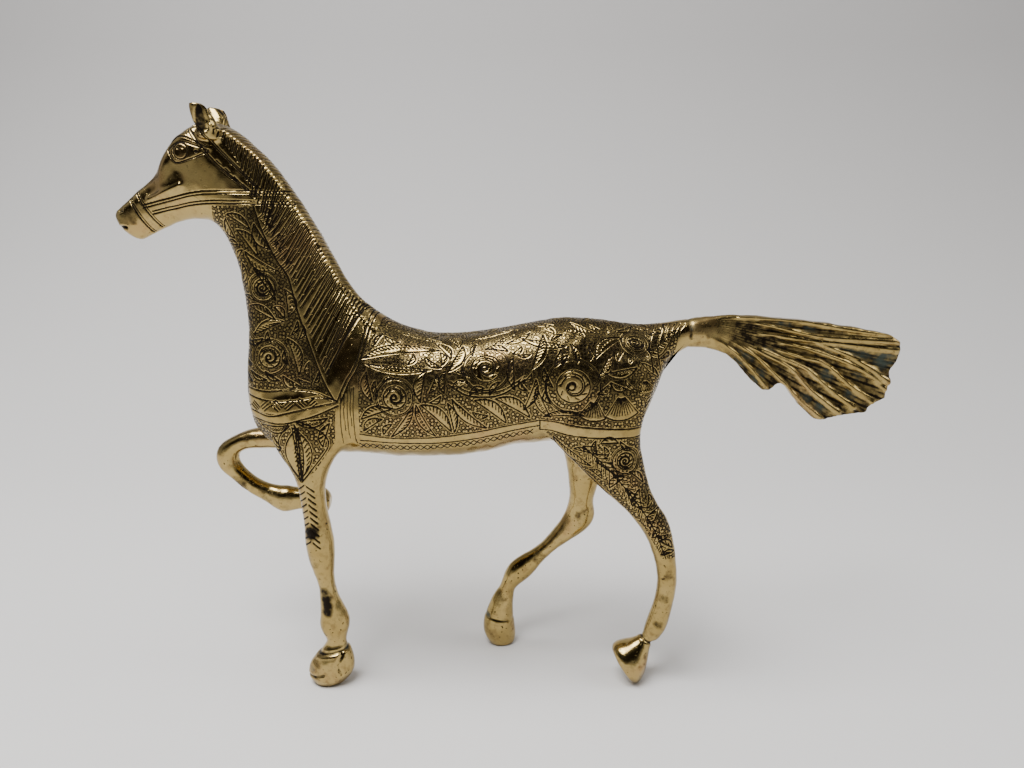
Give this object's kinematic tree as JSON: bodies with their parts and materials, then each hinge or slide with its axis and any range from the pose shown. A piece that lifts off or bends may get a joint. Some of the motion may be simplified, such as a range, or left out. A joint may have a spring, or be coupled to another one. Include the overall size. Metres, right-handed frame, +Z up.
{
  "type": "horse figurine",
  "caption": "Trotting horse statuette in engraved brass, one foreleg raised and a pleated tail held out behind, free standing.",
  "frame": {"origin": "bottom centre of the statuette's box, on the surface that it stands on", "axes": "+X from head to tail, +Y to the horse's right (the side of the raised foreleg), +Z up"},
  "size_m": [0.2692, 0.0382, 0.2032],
  "materials": {
    "engraved_body": "polished brass, hand engraved, with dark patina in the cuts",
    "leg": "polished brass, lightly pitted, with dark patina in the creases",
    "tail": "polished brass with dark patina and verdigris between the pleats",
    "braze": "brazing brass filed flush with the castings"
  },
  "bodies": {
    "root": {"body_near_half": "engraved_body", "body_far_half": "engraved_body", "near_fore_leg": "leg", "far_fore_leg": "leg", "near_hind_leg": "leg", "far_hind_leg": "leg", "tail": "tail", "midline_braze": "braze", "near_fore_braze": "braze", "far_fore_braze": "braze", "near_hind_braze": "braze", "far_hind_braze": "braze", "tail_braze": "braze"}
  },
  "joints": []
}
